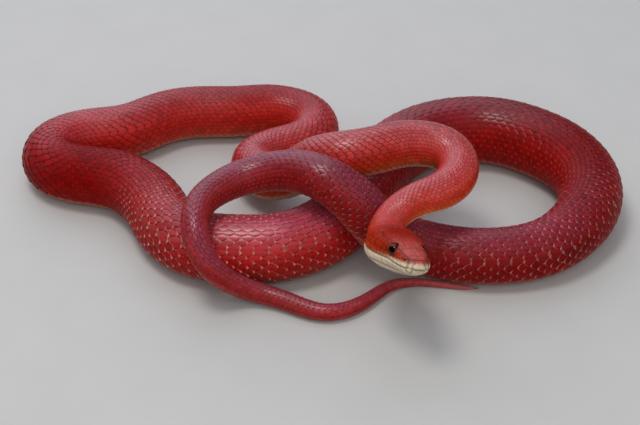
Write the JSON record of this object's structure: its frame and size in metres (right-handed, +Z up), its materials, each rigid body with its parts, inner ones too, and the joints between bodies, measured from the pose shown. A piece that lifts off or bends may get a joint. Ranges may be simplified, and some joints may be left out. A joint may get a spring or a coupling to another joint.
{
  "type": "corn snake model",
  "caption": "Life-size still model of a dark red corn snake, loosely coiled on its belly with one coil arched over another and the head lifted over the coils.",
  "frame": {"origin": "middle of the floor plan of the whole model, on the floor it lies on", "axes": "+Z up; +X along the longest way across the coils, to the right in the picture; +Y away from the viewer of the picture"},
  "size_m": [0.3008, 0.1988, 0.0592],
  "materials": {
    "body_skin": "smooth dark red scales with a soft gloss, paler belly scutes",
    "head_skin": "smooth rust red head plates with a soft gloss",
    "jaw_skin": "smooth cream lips and chin",
    "eye": "clear wet cover over a dark iris"
  },
  "bodies": {
    "root": {"head": "head_skin", "lower_jaw": "jaw_skin", "eye_left": "eye", "eye_right": "eye", "neck": "body_skin", "trunk_1": "body_skin", "trunk_2": "body_skin", "trunk_3": "body_skin", "trunk_4": "body_skin", "trunk_5": "body_skin", "trunk_6": "body_skin", "trunk_7": "body_skin", "trunk_8": "body_skin", "tail_1": "body_skin", "tail_2": "body_skin"}
  },
  "joints": []
}
